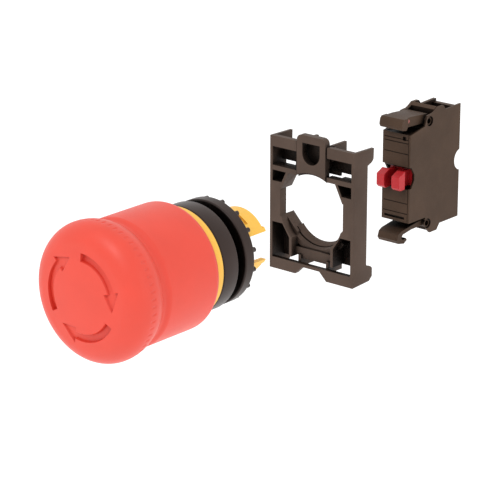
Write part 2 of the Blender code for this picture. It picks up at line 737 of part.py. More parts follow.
def make_block_housing():
    """The moulded shell: left wall and rim, open on the right where the cover closes it."""
    look = brown_plastic()
    half = BLOCK_HALF_WIDTH
    rim_x = half - BLOCK_WALL - 0.15
    inner_x = BLOCK_WALL - half
    shell = prism("block_housing", block_outline(), "X", -half, rim_x, look)
    cutters = [prism("chamber", chamber_outline(), "X", inner_x, half, look)]
    cutters.append(side_notch_cutter("finger_notch"))
    cutters.append(rear_notch_cutter("rear_notch"))
    low, high = PLUNGER_Z
    cutters.append(box("plunger_slot", (inner_x, half), (-1.0, 4.0), (low - GAP, high + GAP), look))
    clip_space = PLUNGER_HALF_WIDTH - 0.2
    cutters.append(box("top_clip_space", (-clip_space, half), (7.4, 12.1), (15.8, 21.0), look))
    cutters.append(box("top_shelf", (-clip_space, half), (-1.0, 7.6), (14.9, 21.0), look))
    cutters.append(box("bottom_clip_space", (-clip_space, half), (-1.0, 11.6), (-18.0, -12.2), look))
    for label, z in TERMINAL_Z.items():
        cutters.append(rod(f"screw_way_{label}", "Y", (0, z), SCREW_HEAD_RADIUS + GAP, 19.0, 26.0, look))
    cutters.append(box("top_wire_way", (-2.6, 2.6), (15.0, 20.2), (14.0, 21.0), look))
    cutters.append(box("bottom_wire_way", (-2.6, 2.6), (16.2, 21.4), (-17.0, -10.0), look))
    cutters.append(box("top_trough", (-clip_space, half), (13.4, 22.6), (17.6, 21.0), look))
    cutters.append(box("rear_dip", (-clip_space, half), (22.0, 25.0), (BLOCK_TOP_Z - 0.8, 21.0), look))
    for index, z in enumerate((13.2, 12.1, 8.9, -6.1, -9.2)):
        cutters.append(box(f"line_{index}", (-4.4, rim_x + 1), (-1.0, 0.2), (z, z + 0.25), look))
    cutters.append(box("front_recess", (2.2, 3.4), (-1.0, 0.6), (13.0, 14.2), look))
    cutters.append(box("front_slot", (-4.0, 3.2), (-1.0, 0.6), (-10.9, -10.2), look))
    shell = cut(shell, *cutters)
    return cut(shell, *clip_holes("housing_hole", -half - 1, inner_x + 0.5))


def chamber_outline():
    """The inner space as (depth, z)."""
    outline = [(1.2, -10.6), (8.4, -10.6), (12.5, -10.9), (14.6, -13.9), (22.9, -13.9)]
    outline += [(22.9, -2.2), (20.4, -0.8), (20.4, 5.6), (22.9, 7.0), (22.9, 16.4)]
    outline += [(12.8, 16.4), (12.4, 14.0), (1.2, 13.4)]
    return outline


def make_block_cover():
    half = BLOCK_HALF_WIDTH
    cover = prism("block_cover", block_outline(), "X", half - BLOCK_WALL, half, brown_plastic())
    cover = cut(cover, side_notch_cutter("cover_finger_notch"), rear_notch_cutter("cover_rear_notch"))
    return cut(cover, *clip_holes("cover_hole", half - 1.5, half + 1))


def make_contact_plunger():
    """The red plunger: two bevelled prongs, a body behind them and a carrier for the moving contact."""
    look = dark_red_plastic()
    low, high = PLUNGER_Z
    width = PLUNGER_HALF_WIDTH
    gap = 1.3
    face_y = -PLUNGER_REACH
    rear_y = face_y + 2.9
    outline = [(face_y, low + 0.8), (face_y + 0.8, low), (rear_y, low), (rear_y, high)]
    outline += [(rear_y - 0.3, high), (face_y, high - 1.2)]
    plunger = prism("contact_plunger", outline, "X", gap, width, look)
    parts = [prism("left_prong", outline, "X", -width, -gap, look)]
    for side in (-1, 1):
        root = sorted((side * gap, side * (width - 1.4)))
        parts.append(box(f"root_{side}", root, (rear_y - 0.2, 2.6), (low + 0.3, high - 0.3), look))
    parts.append(box("body", (-width + 0.1, width - 0.1), (2.4, 6.4), (low + 0.3, high), look))
    parts.append(box("stem", (-2.4, 2.4), (6.2, 15.6), (0.35, 3.35), look))
    plunger = join(plunger, *parts)
    return cut(plunger, box("bridge_window", (-1.6, 1.6), (11.2, 12.6), (-1, 5), look))


def make_contacts():
    """The moving contact through the plunger's stem, and the fixed ones with their screws and clamps."""
    middle = CONTACT_Z
    reach = 5.6
    bridge_z = (middle - reach, middle + reach)
    moving = [box("moving_bridge", (-1.3, 1.3), (11.5, 12.3), bridge_z, contact_brass())]
    fixed = []
    for word, side in (("top", 1), ("bottom", -1)):
        tip_z = middle + side * (reach - 1.2)
        moving.append(rod(f"moving_tip_{word}", "Y", (0, tip_z), 0.9, 10.75, 11.2, contact_silver(), 16))
        fixed.append(rod(f"fixed_tip_{word}", "Y", (0, tip_z), 1.0, 9.95, 10.45, contact_silver(), 16))
        screw_z = TERMINAL_Z[word]
        near_z = tip_z - side * 1.3
        far_z = screw_z + side * 2.2
        rise = [(8.9, near_z), (9.65, near_z), (9.65, tip_z + side * 2.6), (15.1, tip_z + side * 2.6)]
        rise += [(15.1, far_z), (14.3, far_z), (14.3, tip_z + side * 3.35), (8.9, tip_z + side * 3.35)]
        strip = prism(f"fixed_contact_{word}", rise, "X", -2.7, 2.7, contact_brass())
        hole = rod(f"strip_hole_{word}", "Y", (0, screw_z), 1.5 + GAP, 13, 16, contact_brass(), SMALL)
        fixed.append(cut(strip, hole))
        fixed.append(make_clamp(word, screw_z))
        fixed.append(make_terminal_screw(word, screw_z))
    return moving, fixed


def make_clamp(word, z):
    look = zinc_steel()
    plate = box(f"clamp_plate_{word}", (-2.4, 2.4), (17.6, 18.5), (z - 2.2, z + 2.2), look)
    return cut(plate, rod(f"clamp_hole_{word}", "Y", (0, z), 1.5 + GAP, 17, 19, look, SMALL))


def make_terminal_screw(word, z):
    """A slotted screw whose axis runs along Y; its origin is on that axis."""
    look = zinc_steel()
    shank = 1.5
    head_y = (18.8, 21.4)
    profile = [(0.0, 13.2), (shank, 13.2), (shank, head_y[0]), (SCREW_HEAD_RADIUS, head_y[0])]
    profile += [(SCREW_HEAD_RADIUS, head_y[1] - 0.4), (SCREW_HEAD_RADIUS - 0.4, head_y[1]), (0.0, head_y[1])]
    screw = turned(f"terminal_screw_{word}", profile, look, SMALL)
    slots = [box("slot_across", (-3, 3), (20.3, 22), (-0.4, 0.4), look)]
    slots.append(box("slot_upright", (-0.4, 0.4), (20.3, 22), (-1.3, 1.3), look))
    screw = cut(screw, *slots)
    screw.location.z = z * MM
    return screw


def pivoted(arm, name):
    """Adds the pivot pin to a latch arm; the pin's ends are bored."""
    reach = BLOCK_HALF_WIDTH - 0.4
    look = brown_plastic()
    arm = join(arm, rod(f"{name}_pin", "X", (0, 0), CLIP_PIN_RADIUS, -reach, reach, look))
    bores = []
    for side in (-1, 1):
        low, high = sorted((side * 2.6, side * (reach + 1)))
        bores.append(rod(f"{name}_bore_{side}", "X", (0, 0), CLIP_PIN_RADIUS - 0.35, low, high, look, 12))
    return cut(arm, *bores)


def make_top_clip():
    """The upper latch arm, modelled round its own pivot."""
    look = brown_plastic()
    half = CLIP_HALF_WIDTH
    outline = [(1.6, -0.6), (1.6, 1.2), (0.4, 2.0), (-7.0, 2.6), (-11.4, 2.6), (-12.1, 1.9)]
    outline += [(-12.4, 0.3), (-11.9, -0.6), (-10.2, -0.9), (-9.6, -0.2), (-3.0, -0.5), (0.2, -0.7)]
    arm = prism("top_clip", outline, "X", -half, half, look)
    nose = [(-9.2, 2.6), (-11.4, 2.6), (-12.1, 1.9), (-12.4, 0.3), (-11.9, -0.6), (-10.2, -0.9), (-9.6, -0.2)]
    clip = pivoted(join(arm, prism("nose", nose, "X", -half - 0.5, half + 0.5, look)), "top")
    clip.location = Vector((0, TOP_CLIP_PIVOT[0], TOP_CLIP_PIVOT[1])) * MM
    return clip


def make_bottom_clip():
    """The lower latch arm with its open hook, modelled round its own pivot."""
    look = brown_plastic()
    half = CLIP_HALF_WIDTH
    outline = [(1.6, 0.9), (-0.4, 1.3), (-6.4, 0.5), (-11.0, -0.2), (-12.4, -0.9), (-13.0, -2.6)]
    outline += [(-12.2, -3.7), (-9.6, -4.2), (-8.2, -3.4), (-8.6, -2.7), (-10.2, -3.0), (-10.9, -2.3)]
    outline += [(-10.2, -1.3), (-6.2, -0.7), (-1.0, -0.6), (1.0, -1.3)]
    arm = prism("bottom_clip", outline, "X", -half, half, look)
    clip = pivoted(arm, "bottom")
    clip.location = Vector((0, BOTTOM_CLIP_PIVOT[0], BOTTOM_CLIP_PIVOT[1])) * MM
    return clip


def make_block():
    block = empty("block_axis", (0, BLOCK_FRONT_Y, 0))
    plunger_axis = empty("plunger_axis", (0, 0, 0), block)
    moving, fixed = make_contacts()
    spring = coil("plunger_spring", (0, CONTACT_Z), "Y", 1.3, 0.5, 15.9, 20.1, 4, spring_steel())
    hang(plunger_axis, make_contact_plunger(), *moving)
    hang(block, make_block_housing(), make_block_cover(), make_top_clip(), make_bottom_clip(), spring, *fixed)


def main():
    clear_scene()
    make_head()
    make_adapter()
    make_block()


main()
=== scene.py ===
"""Looks of the twist-release emergency stop button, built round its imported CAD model.

Lengths in this file are in millimetres and angles in degrees; the mesh helpers turn them into Blender's
metres and radians. The button's axis is Y and the operator faces -Y. Each piece takes its place from the
CAD node that it stands for.
"""

import json
import math

import bmesh
import bpy
import numpy as np
from mathutils import Matrix, Vector


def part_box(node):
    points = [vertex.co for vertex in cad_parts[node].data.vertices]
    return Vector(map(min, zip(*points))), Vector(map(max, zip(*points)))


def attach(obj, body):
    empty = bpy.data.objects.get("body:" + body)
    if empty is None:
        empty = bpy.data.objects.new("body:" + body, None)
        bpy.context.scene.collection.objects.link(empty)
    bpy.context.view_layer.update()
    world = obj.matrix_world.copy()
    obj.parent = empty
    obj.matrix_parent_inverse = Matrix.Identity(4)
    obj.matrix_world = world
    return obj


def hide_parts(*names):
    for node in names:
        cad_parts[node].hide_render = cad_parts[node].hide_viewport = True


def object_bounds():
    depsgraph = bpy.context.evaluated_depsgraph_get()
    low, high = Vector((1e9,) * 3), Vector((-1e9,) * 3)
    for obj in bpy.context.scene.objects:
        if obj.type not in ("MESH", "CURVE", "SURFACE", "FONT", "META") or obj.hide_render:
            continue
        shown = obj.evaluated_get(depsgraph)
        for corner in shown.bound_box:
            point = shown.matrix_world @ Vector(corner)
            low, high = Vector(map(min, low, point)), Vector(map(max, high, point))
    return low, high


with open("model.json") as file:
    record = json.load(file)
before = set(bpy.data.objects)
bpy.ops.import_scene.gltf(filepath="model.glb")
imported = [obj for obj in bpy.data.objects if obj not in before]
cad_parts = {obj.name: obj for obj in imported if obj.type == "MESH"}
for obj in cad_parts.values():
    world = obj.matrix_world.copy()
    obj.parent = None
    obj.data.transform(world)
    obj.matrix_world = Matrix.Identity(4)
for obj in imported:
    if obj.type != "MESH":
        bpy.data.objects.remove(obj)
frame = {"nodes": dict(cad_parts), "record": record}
cad_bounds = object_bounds()

MM = 0.001
ROUND = 160  # segments round a turned piece
SMOOTH_BELOW = 32.0  # faces that meet at less than this are shaded as one surface
EDGE_ROUND = 0.12  # on the edges of flat mouldings
CONTACT_GAP = 0.01  # between surfaces that rest on each other

# The materials
NOISE_SPAN = (0.3, 0.7)  # most of a noise's values lie between these
# Painted shade: plastics darken where nearby walls shut a surface in, standing in for shade in recesses
PAINTED_SHADE_SPAN = (0.45, 0.95)  # painted shade: openness of a fully shaded surface and of an unshaded one
SHALLOW_SHADE_REACH = 3.0  # how far a wall still casts painted shade on the head's red or yellow
DEEP_SHADE_REACH = 9.0  # and on any other plastic
SHADE_SATURATION = 1.25  # the painted shade's colour is the surface colour raised to this power
BLOCK_MOULDINGS = ("block_housing", "block_cover", "top_clip", "bottom_clip")

# The red cap
CAP_RIM_ROUND = 6.1
CAP_RIM_DEPTH = 7.0  # from the apex back to the centre of the rim's rounding
CAP_WALL = 2.0
CAP_SEGMENTS = 600
ARROW_BAND = (9.7, 11.9)  # the inner and outer radius of an arrow's shaft
ARROW_HEAD = (8.4, 13.3)  # and of its head
ARROW_SWEEP = (72.0, 100.0)  # from the tail to the head's neck and to its tip
ARROW_TAILS = (90.0, -30.0, -150.0)
ARROW_DEPTHS = (1.1, 0.5)  # at the tail and at the tip
ARROW_WALL = 0.32  # width of a recess's sloping wall
FACE_DEPTH = 2.4  # the arrows lie no further back than this
GRIP_GROOVES = 60
GRIP_DEPTH = 0.16
GRIP_BAND = (-0.5, 1.5)  # from the centre of the rim's rounding
GRIP_WIDTH = 1.9  # the grooves lie no further in from the rim's widest radius

# The ring nut
NUT_KNOBS = 16
NUT_KNOB_RADIUS = 0.7
NUT_KNOB_REACH = 14.62  # from the axis to a knob's outermost point

# The camera and the light round it
CAMERA_PLACE = Vector((0.42086, -0.47568, 0.21457))  # in metres
CAMERA_TURN = 40.46
CAMERA_DROP = 18.32
CAMERA_LENS = 188.8
FLOOR_DROP = 110.0
FLOOR_REACH = 40000.0
FLOOR_GLOW = 0.2
KEY_LIGHT = {"offset": (50.0, -500.0, 600.0), "size": 300.0, "power": 1.4}
SIDE_LIGHT = {"offset": (700.0, 50.0, 200.0), "size": 400.0, "power": 0.3}


# Materials


def tree_of(name):
    """A new material, its node tree and its Principled shader."""
    made = bpy.data.materials.new(name)
    made.use_nodes = True
    tree = made.node_tree
    return made, tree, tree.nodes["Principled BSDF"]


def add_noise(tree, size, detail=3.0, stretch=(1.0, 1.0, 1.0)):
    """Noise in the object's own space, whose blobs are about size millimetres across."""
    place = tree.nodes.new("ShaderNodeTexCoord")
    scale = tree.nodes.new("ShaderNodeMapping")
    scale.inputs["Scale"].default_value = stretch
    noise = tree.nodes.new("ShaderNodeTexNoise")
    noise.inputs["Scale"].default_value = 1.0 / (size * MM)
    noise.inputs["Detail"].default_value = detail
    tree.links.new(place.outputs["Object"], scale.inputs["Vector"])
    tree.links.new(scale.outputs["Vector"], noise.inputs["Vector"])
    return noise.outputs["Fac"]


def add_range(tree, value, low, high):
    """Spreads a noise's span over low to high."""
    spread = tree.nodes.new("ShaderNodeMapRange")
    spread.inputs["From Min"].default_value, spread.inputs["From Max"].default_value = NOISE_SPAN
    spread.inputs["To Min"].default_value = low
    spread.inputs["To Max"].default_value = high
    tree.links.new(value, spread.inputs["Value"])
    return spread.outputs["Result"]


def add_colours(tree, value, first, second):
    """Blends two colours over a noise's span."""
    ramp = tree.nodes.new("ShaderNodeValToRGB")
    for stop, position, colour in zip(ramp.color_ramp.elements, NOISE_SPAN, (first, second)):
        stop.position = position
        stop.color = (*colour, 1.0)
    tree.links.new(value, ramp.inputs["Fac"])
    return ramp.outputs["Color"]


def add_bumps(tree, *heights):
    """Chains (noise, depth in millimetres) pairs into one normal."""
    normal = None
    for value, depth in heights:
        bump = tree.nodes.new("ShaderNodeBump")
        bump.inputs["Distance"].default_value = depth * MM
        tree.links.new(value, bump.inputs["Height"])
        if normal:
            tree.links.new(normal, bump.inputs["Normal"])
        normal = bump.outputs["Normal"]
    return normal


def add_painted_shade(tree, colour, painted_shade_tone, reach):
    """Painted shade: turns a colour towards a darker one where walls within reach millimetres shut it in."""
    shade_occlusion = tree.nodes.new("ShaderNodeAmbientOcclusion")
    shade_occlusion.samples = 8
    shade_occlusion.inputs["Distance"].default_value = reach * MM
    spread = tree.nodes.new("ShaderNodeMapRange")
    spread.inputs["From Min"].default_value, spread.inputs["From Max"].default_value = PAINTED_SHADE_SPAN
    mix = tree.nodes.new("ShaderNodeMixRGB")
    mix.inputs["Color1"].default_value = (*painted_shade_tone, 1.0)
    # painted shade: the more a surface is shut in, the nearer its colour comes to the dark one
    tree.links.new(shade_occlusion.outputs["AO"], spread.inputs["Value"])
    tree.links.new(spread.outputs["Result"], mix.inputs["Fac"])
    tree.links.new(colour, mix.inputs["Color2"])
    return mix.outputs["Color"]


def shaded(colour, factor):
    """The colour made darker or lighter by a factor."""
    return tuple(channel * factor for channel in colour)


def moulded(
    name, colour, roughness, grain=0.3, grain_depth=0.012,
    drift=0.06, glow=0.0, gloss=0.5, painted_shade_tone=0.1, reach=DEEP_SHADE_REACH,
):
    """Moulded plastic: spark-eroded grain, slight waviness, and colour and gloss that drift a little.

    drift is how far the colour wanders, glow how much light passes under the surface, gloss how much the
    surface mirrors, and the shade tone how bright the colour is in the painted shade laid where walls within
    reach shut the surface in.
    """
    made, tree, shader = tree_of(name)
    shader.inputs["Specular IOR Level"].default_value = gloss
    cloud_size, wave_size, fine_detail, wave_detail, gloss_drift = 9.0, 4.0, 4.0, 1.0, 0.05
    cloud = add_noise(tree, cloud_size)
    fine = add_noise(tree, grain, fine_detail)
    wave = add_noise(tree, wave_size, wave_detail)
    tint = add_colours(tree, cloud, shaded(colour, 1 - drift), shaded(colour, 1 + drift))
    # painted shade: the darker, deeper colour that shut-in surfaces turn towards
    painted_shade_colour = tuple(channel**SHADE_SATURATION * painted_shade_tone for channel in colour)
    tree.links.new(add_painted_shade(tree, tint, painted_shade_colour, reach), shader.inputs["Base Color"])
    sheen = add_range(tree, fine, roughness - gloss_drift, roughness + gloss_drift)
    tree.links.new(sheen, shader.inputs["Roughness"])
    tree.links.new(add_bumps(tree, (fine, grain_depth), (wave, grain_depth)), shader.inputs["Normal"])
    if glow:
        shader.inputs["Subsurface Weight"].default_value = glow
        shader.inputs["Subsurface Radius"].default_value = (1.0, 0.25, 0.15)
        shader.inputs["Subsurface Scale"].default_value = 1.2 * MM
    return made


def metal(name, colour, roughness, stretch=(1.0, 1.0, 1.0), wear=0.1):
    """Bare or plated metal with fine drawing lines and slightly uneven gloss."""
    made, tree, shader = tree_of(name)
    shader.inputs["Metallic"].default_value = 1.0
    line_size, line_detail, patch_size, line_depth = 0.25, 4.0, 1.6, 0.004
    lines = add_noise(tree, line_size, line_detail, stretch)
    patches = add_noise(tree, patch_size)
    tint = add_colours(tree, patches, shaded(colour, 1 - wear), colour)
    tree.links.new(tint, shader.inputs["Base Color"])
    tree.links.new(add_range(tree, lines, roughness - 0.07, roughness + 0.1), shader.inputs["Roughness"])
    tree.links.new(add_bumps(tree, (lines, line_depth)), shader.inputs["Normal"])
    return made


def make_plastics():
    """The plastics and the rubber, by the record's slots."""
    # the reach and the shade tone of each plastic set the painted shade in its recesses
    shell = {"grain_depth": 0.005, "drift": 0.03, "reach": SHALLOW_SHADE_REACH}
    red = moulded("red_satin", (0.72, 0.062, 0.036), 0.42, glow=0.1, gloss=0.4, painted_shade_tone=0.85, **shell)
    yellow = moulded("yellow_satin", (0.86, 0.49, 0.075), 0.42, glow=0.08, gloss=0.3, painted_shade_tone=0.8, **shell)
    glassy = {"grain": 0.4, "grain_depth": 0.02, "gloss": 0.12}
    thin = {"grain_depth": 0.004, "drift": 0.05, "glow": 0.05, "gloss": 0.3, "painted_shade_tone": 0.6}
    white = {"grain_depth": 0.006, "drift": 0.03, "glow": 0.1, "painted_shade_tone": 0.7}
    return {
        "red_plastic": red,
        "yellow_plastic": yellow,
        "black_plastic": moulded(
            "black_satin", (0.034, 0.020, 0.016), 0.34, grain_depth=0.01, drift=0.1, gloss=0.2
        ),
        "brown_plastic": moulded("brown_glass_filled", (0.083, 0.055, 0.042), 0.5, drift=0.12, **glassy),
        "block_plastic": moulded("block_brown", (0.064, 0.037, 0.023), 0.5, drift=0.14, **glassy),
        "dark_red_plastic": moulded("plunger_red", (0.46, 0.016, 0.022), 0.35, **thin),
        "white_plastic": moulded("acetal", (0.74, 0.72, 0.66), 0.4, **white),
        "seal_rubber": moulded("seal_rubber", (0.014, 0.014, 0.014), 0.75, grain_depth=0.02, gloss=0.3),
    }


def make_metals():
    """The metals, by the record's slots."""
    return {
        "spring_steel": metal("spring_wire", (0.60, 0.60, 0.62), 0.28, stretch=(1.0, 1.0, 0.2)),
        "contact_brass": metal("rolled_brass", (0.74, 0.52, 0.23), 0.32, stretch=(1.0, 0.15, 1.0)),
        "contact_silver": metal("silver_rivet", (0.84, 0.83, 0.80), 0.22),
        "zinc_steel": metal("zinc_plate", (0.63, 0.64, 0.67), 0.33, wear=0.16),
    }


looks = {**make_plastics(), **make_metals()}
slots = {part["node"]: part["material_slot"] for part in frame["record"]["subparts"]}
bodies = {node: body for body, nodes in frame["record"]["behaviour"]["bodies"].items() for node in nodes}


def look_of(node):
    """The look of a CAD node's slot; the contact block's mouldings are a browner brown than the adapter."""
    return looks["block_plastic" if node in BLOCK_MOULDINGS else slots[node]]


# Mesh helpers


def corners(node):
    """A node's lowest and highest corners at rest, in millimetres."""
    low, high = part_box(node)
    return low / MM, high / MM


def arc(centre, radius, start, end, steps):
    """Points round a centre, from one angle to another, both included."""
    return [polar(radius, start + (end - start) * step / steps, centre) for step in range(steps + 1)]


def polar(radius, degrees, centre=(0.0, 0.0)):
    angle = math.radians(degrees)
    return (centre[0] + radius * math.cos(angle), centre[1] + radius * math.sin(angle))


def new_object(name, mesh):
    made = bpy.data.objects.new(name, mesh)
    bpy.context.scene.collection.objects.link(made)
    return made


def shade(mesh, smooth_below=SMOOTH_BELOW):
    mesh.shade_smooth()
    mesh.set_sharp_from_angle(angle=math.radians(smooth_below))


def finish_mesh(name, bm):
    bmesh.ops.recalc_face_normals(bm, faces=bm.faces[:])
    mesh = bpy.data.meshes.new(name)
    bm.to_mesh(mesh)
    bm.free()
    shade(mesh)
    return new_object(name, mesh)


def lathe(name, profile, segments=ROUND, sculpt=None):
    """Turns (radius, y) points about Y. The ends meet, or both lie on the axis. sculpt moves the points."""
    radius = np.array([point[0] for point in profile])[:, None]
    depth = np.array([point[1] for point in profile])[:, None]
    angle = np.arange(segments)[None, :] * 2 * math.pi / segments
    radius, depth, angle = np.broadcast_arrays(radius, depth, angle)
    if sculpt:
        radius, depth = sculpt(radius, depth, angle)
    points = np.stack([radius * np.cos(angle), depth, radius * np.sin(angle)], axis=-1)
    points = points.reshape(-1, 3) * MM
    rings = len(profile)
    on_axis = profile[0][0] == 0
    faces = []
    for ring in range(rings - 1 if on_axis else rings):
        this, following = ring * segments, (ring + 1) % rings * segments
        for step in range(segments):
            after = (step + 1) % segments
            faces.append((this + step, this + after, following + after, following + step))
    mesh = bpy.data.meshes.new(name)
    mesh.from_pydata(points.tolist(), [], faces)
    bm = bmesh.new()
    bm.from_mesh(mesh)
    bpy.data.meshes.remove(mesh)
    weld = 0.0005
    bmesh.ops.remove_doubles(bm, verts=bm.verts[:], dist=weld * MM)
    return finish_mesh(name, bm)


def prism(name, outline, axis, low, high):
    """An outline pushed along an axis. Its points are (x, z) along Y, (y, z) along X and (x, y) along Z."""
    place = {
        "X": lambda a, b, depth: (depth, a, b),
        "Y": lambda a, b, depth: (a, depth, b),
        "Z": lambda a, b, depth: (a, b, depth),
    }[axis]
    bm = bmesh.new()
    near = [bm.verts.new(Vector(place(a, b, low)) * MM) for a, b in outline]
    far = [bm.verts.new(Vector(place(a, b, high)) * MM) for a, b in outline]
    bm.faces.new(near)
    bm.faces.new(far)
    for index in range(len(outline)):
        after = (index + 1) % len(outline)
        bm.faces.new((near[index], near[after], far[after], far[index]))
    return finish_mesh(name, bm)


def box(name, x, y, z):
    outline = [(x[0], z[0]), (x[1], z[0]), (x[1], z[1]), (x[0], z[1])]
    return prism(name, outline, "Y", y[0], y[1])


def rod(name, axis, centre, radius, low, high, sides=32):
    return prism(name, arc(centre, radius, 0, 360, sides)[:-1], axis, low, high)


def combine(obj, others, operation):
    """Booleans the others into obj, bakes the result and removes them."""
    for other in others:
        modifier = obj.modifiers.new(operation.lower(), "BOOLEAN")
        modifier.operation = operation
        modifier.solver = "EXACT"
        modifier.object = other
    bake(obj)
    for other in others:
        bpy.data.objects.remove(other, do_unlink=True)
    return obj


def bake(obj):
    """Replaces obj's mesh by what its modifiers make of it."""
    bpy.context.view_layer.update()
    graph = bpy.context.evaluated_depsgraph_get()
    baked = bpy.data.meshes.new_from_object(obj.evaluated_get(graph))
    obj.modifiers.clear()
    obj.data = baked
    shade(baked)


def cut(obj, *cutters):
    return combine(obj, cutters, "DIFFERENCE")


def join(obj, *others):
    return combine(obj, others, "UNION")


def soften(obj, width, steps=2, above=40.0):
    """Rounds the edges where faces meet at more than an angle, as a mould does."""
    bm = bmesh.new()
    bm.from_mesh(obj.data)
    weld, flat = 0.002, 0.8
    bmesh.ops.remove_doubles(bm, verts=bm.verts[:], dist=weld * MM)
    bmesh.ops.dissolve_limit(bm, angle_limit=math.radians(flat), verts=bm.verts[:], edges=bm.edges[:])
    bm.to_mesh(obj.data)
    bm.free()
    modifier = obj.modifiers.new("rounding", "BEVEL")
    modifier.width = width * MM
    modifier.segments = steps
    modifier.limit_method = "ANGLE"
    modifier.angle_limit = math.radians(above)
    bake(obj)
    modifier = obj.modifiers.new("flatness", "WEIGHTED_NORMAL")
    modifier.keep_sharp = True
    bake(obj)
    return obj


def stands_for(obj, *nodes):
    """Dresses obj in the look of the CAD nodes that it replaces, on their body."""
    obj.data.materials.clear()
    obj.data.materials.append(look_of(nodes[0]))
    for face in obj.data.polygons:
        face.material_index = 0
    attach(obj, bodies[nodes[0]])
    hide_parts(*nodes)
    return obj


def copy_of(node, name):
    mesh = frame["nodes"][node].data.copy()
    return new_object(name, mesh)


def rounded_copy(node):
    """The CAD node's own shape with its edges rounded."""
    return stands_for(soften(copy_of(node, f"{node}_moulding"), EDGE_ROUND), node)


# The red cap and barrel


def cap_front(radius, apex, dome):
    """How far back the cap's front surface lies at each radius: a dome, then the rim's rounding."""
    ring = corners("mushroom_cap")[1].x - CAP_RIM_ROUND
    lean = ring / (dome - CAP_RIM_ROUND)
    if radius < dome * lean:
        return apex + dome - math.sqrt(dome**2 - radius**2)
    return apex + CAP_RIM_DEPTH - math.sqrt(max(CAP_RIM_ROUND**2 - (radius - ring) ** 2, 0.0))


def cap_profile():
    """The cap's section, from the apex over the face and the rim to the rear edge, and back inside it."""
    low, high = corners("mushroom_cap")
    apex, back, outer = low.y, high.y, high.x
    ring = outer - CAP_RIM_ROUND
    rim_y = apex + CAP_RIM_DEPTH
    reach = ring**2 + CAP_RIM_DEPTH**2 - CAP_RIM_ROUND**2
    dome = reach / (2 * (CAP_RIM_DEPTH - CAP_RIM_ROUND))
    band_start, band_end = 8.0, 13.8  # the arrows lie between these radii, where the points are closer
    wide, close = 0.7, 0.15
    radii = [0.0, 0.5] + list(np.arange(1.0, band_start, wide))
    radii += list(np.arange(band_start, band_end, close))
    profile = [(float(radius), cap_front(radius, apex, dome)) for radius in radii]
    rim_start = math.degrees(math.acos((band_end - ring) / CAP_RIM_ROUND))
    profile += arc((ring, rim_y), CAP_RIM_ROUND, -rim_start, 0, 20)
    narrowing, length, flank_end = 3.0, back - rim_y - 0.1, 66
    for turn in range(2, flank_end + 1, 2):
        across, along = polar(1.0, turn)
        profile.append((outer - narrowing * (1 - across), rim_y + length * along))
    profile += [(outer - 1.85, back - 0.25), (outer - 2.05, back)]
    return profile + cap_inside(ring, rim_y, apex, back)


def cap_inside(ring, rim_y, apex, back):
    """The hollow back of the cap and the boss that takes the hub."""
    boss_bore, boss_outer, boss_rear = 7.0, 8.4, -33.0
    ceiling = apex + 2.9
    inside = [(15.4, back), (15.1, back - 0.3), (16.8, back - 4.6)]
    inside += arc((ring, rim_y), CAP_RIM_ROUND - CAP_WALL, 0, -76, 8)
    inside += [(boss_outer, ceiling), (boss_outer, boss_rear)]
    return inside + [(boss_bore, boss_rear), (boss_bore, ceiling), (0.0, ceiling)]


def arrow_outline(tail):
    """The (x, z) outline of the arrow whose tail lies at an angle; its tip lies clockwise from there."""
    neck, tip = tail - ARROW_SWEEP[0], tail - ARROW_SWEEP[1]
    outline = arc((0, 0), ARROW_BAND[1], tail, neck, 24)
    outline += [polar(ARROW_HEAD[1], neck), polar(sum(ARROW_BAND) / 2, tip), polar(ARROW_HEAD[0], neck)]
    return outline + arc((0, 0), ARROW_BAND[0], neck, tail, 24)


def depth_inside(x, z, outline):
    """How far inside a closed outline each point lies, in millimetres; zero outside it."""
    nearest = np.full(x.shape, 1e9)
    crossings = np.zeros(x.shape, int)
    for (ax, az), (bx, bz) in zip(outline, outline[1:] + outline[:1]):
        ex, ez = bx - ax, bz - az
        along = np.clip(((x - ax) * ex + (z - az) * ez) / (ex**2 + ez**2), 0, 1)
        nearest = np.minimum(nearest, np.hypot(x - ax - along * ex, z - az - along * ez))
        if ez:
            crosses = (az > z) != (bz > z)
            crossings += crosses & (x < ax + (z - az) / ez * ex)
    return np.where(crossings % 2 == 1, nearest, 0.0)


def smooth_step(value):
    """Eases from 0 to 1 as value goes from 0 to 1, and stays level outside."""
    value = np.clip(value, 0, 1)
    return value * value * (3 - 2 * value)


def arrow_depths(radius, angle):
    """How far the three arrows sink each point of the face: deepest at the tail, shallow at the tip."""
    x, z = radius * np.cos(angle), radius * np.sin(angle)
    turn = np.degrees(angle)
    at_tail, at_tip = ARROW_DEPTHS
    sunk = np.zeros(radius.shape)
    for tail in ARROW_TAILS:
        along = (tail - turn) % 360 / ARROW_SWEEP[1]
        floor = at_tail + (at_tip - at_tail) * np.clip(along, 0, 1)
        sunk += floor * smooth_step(depth_inside(x, z, arrow_outline(tail)) / ARROW_WALL)
    return sunk


def grip_depths(depth, angle, rim_y):
    """How far the grip's grooves sink each point of the rim's widest band."""
    start, end = rim_y + GRIP_BAND[0], rim_y + GRIP_BAND[1]
    front_ramp, rear_ramp = 0.5, 0.7
    along = smooth_step((depth - start) / front_ramp) * smooth_step((end - depth) / rear_ramp)
    sharpness, threshold = 1.6, 0.5
    groove = smooth_step(np.cos(angle * GRIP_GROOVES) * sharpness - threshold)
    return GRIP_DEPTH * along * groove


def sculpt_cap(radius, depth, angle):
    """Sinks the three arrows into the face and the grip's grooves into the widest part of the rim."""
    low, high = corners("mushroom_cap")
    face = depth < low.y + FACE_DEPTH
    outside = radius > high.x - GRIP_WIDTH
    grip = grip_depths(depth, angle, low.y + CAP_RIM_DEPTH) * outside
    return radius - grip, depth + arrow_depths(radius, angle) * face


def make_cap():
    """The red cap, on a mesh fine enough for its arrows and grooves."""
    cap = lathe("red_cap", cap_profile(), CAP_SEGMENTS, sculpt_cap)
    return stands_for(cap, "mushroom_cap")


